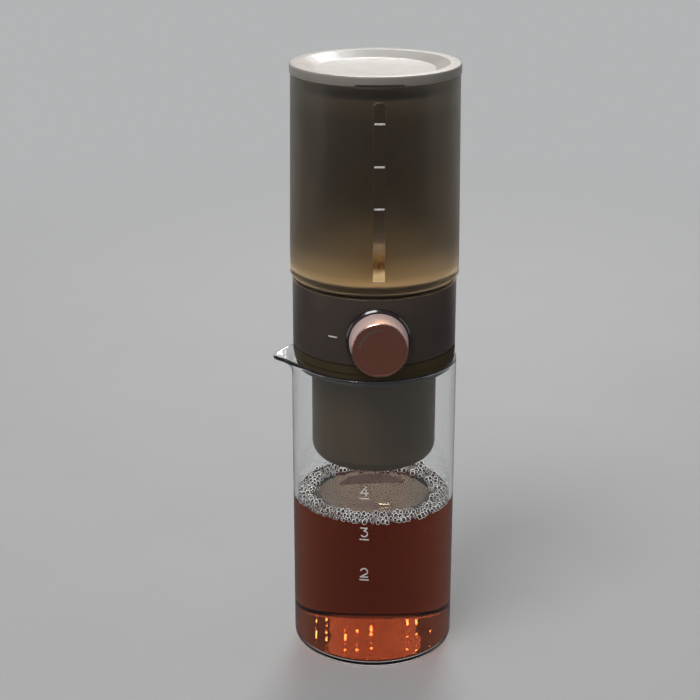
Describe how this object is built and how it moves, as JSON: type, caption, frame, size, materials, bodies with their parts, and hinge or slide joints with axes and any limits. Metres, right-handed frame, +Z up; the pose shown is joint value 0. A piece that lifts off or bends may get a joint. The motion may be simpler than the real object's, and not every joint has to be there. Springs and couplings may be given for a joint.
{
  "type": "cold brew drip coffee maker",
  "caption": "Tall drip coffee maker: frosted water tank on a ring housing with a front valve knob, over a filter cup that hangs in a clear glass carafe with a spout.",
  "frame": {"origin": "centre of the carafe's underside, on the surface it stands on", "axes": "+Z up along the stack, knob towards -Y, spout towards -X"},
  "size_m": [0.1039, 0.109, 0.3424],
  "materials": {
    "clear_glass": "clear borosilicate glass, polished",
    "printed_white": "white screen-printed ink",
    "coffee": "clear red-brown liquid",
    "smoky_satin": "satin smoky brown plastic",
    "smoky_gloss": "glossy smoky brown plastic",
    "frosted_smoke": "frosted smoky olive-brown plastic",
    "clear_smoke": "clear smoky plastic, polished",
    "silicone": "dark silicone",
    "stainless": "brushed stainless steel",
    "brass": "turned brass",
    "black_plastic": "glossy black plastic",
    "rose_gold": "rose gold anodised, spun face and bright bevel",
    "dial_engraving": "fine pale engraved marks"
  },
  "bodies": {
    "carafe": {"glass_carafe": "clear_glass", "carafe_scale": "printed_white", "coffee": "coffee"},
    "filter": {"filter_cup": "smoky_satin", "cup_seal": "silicone", "filter_mesh": "stainless", "mesh_frame": "black_plastic"},
    "spreader": {"spreader_disc": "smoky_satin"},
    "housing": {"valve_housing": "smoky_gloss", "housing_base": "smoky_gloss", "housing_screws": "stainless", "valve_body": "brass", "valve_screws": "stainless", "drip_nozzle": "stainless", "gland_nut": "brass", "knob_collar": "black_plastic", "index_mark": "printed_white"},
    "knob": {"valve_spindle": "stainless", "spindle_o_rings": "silicone", "spindle_clip": "stainless", "knob_hub": "black_plastic", "knob_cap": "rose_gold", "dial_marks": "dial_engraving"},
    "tank": {"water_tank": "frosted_smoke", "level_window": "clear_smoke", "tank_scale": "printed_white", "outlet_gasket": "silicone", "inlet_strainer": "brass"},
    "lid": {"lid": "smoky_gloss", "lid_seal": "silicone"}
  },
  "joints": [
    {"name": "filter_lift", "type": "slide", "parent": "carafe", "child": "filter", "axis": [0, 0, 1], "range_m": [0, 0.075]},
    {"name": "spreader_lift", "type": "slide", "parent": "filter", "child": "spreader", "axis": [0, 0, 1], "range_m": [0, 0.02]},
    {"name": "housing_lift", "type": "slide", "parent": "filter", "child": "housing", "axis": [0, 0, 1], "range_m": [0, 0.03]},
    {"name": "knob_turn", "type": "hinge", "parent": "housing", "child": "knob", "pos_m": [0, -0.06, 0.2015], "axis": [0, -1, 0], "range_deg": [0, 180]},
    {"name": "tank_lift", "type": "slide", "parent": "housing", "child": "tank", "axis": [0, 0, 1], "range_m": [0, 0.03]},
    {"name": "lid_lift", "type": "slide", "parent": "tank", "child": "lid", "axis": [0, 0, 1], "range_m": [0, 0.03]}
  ]
}
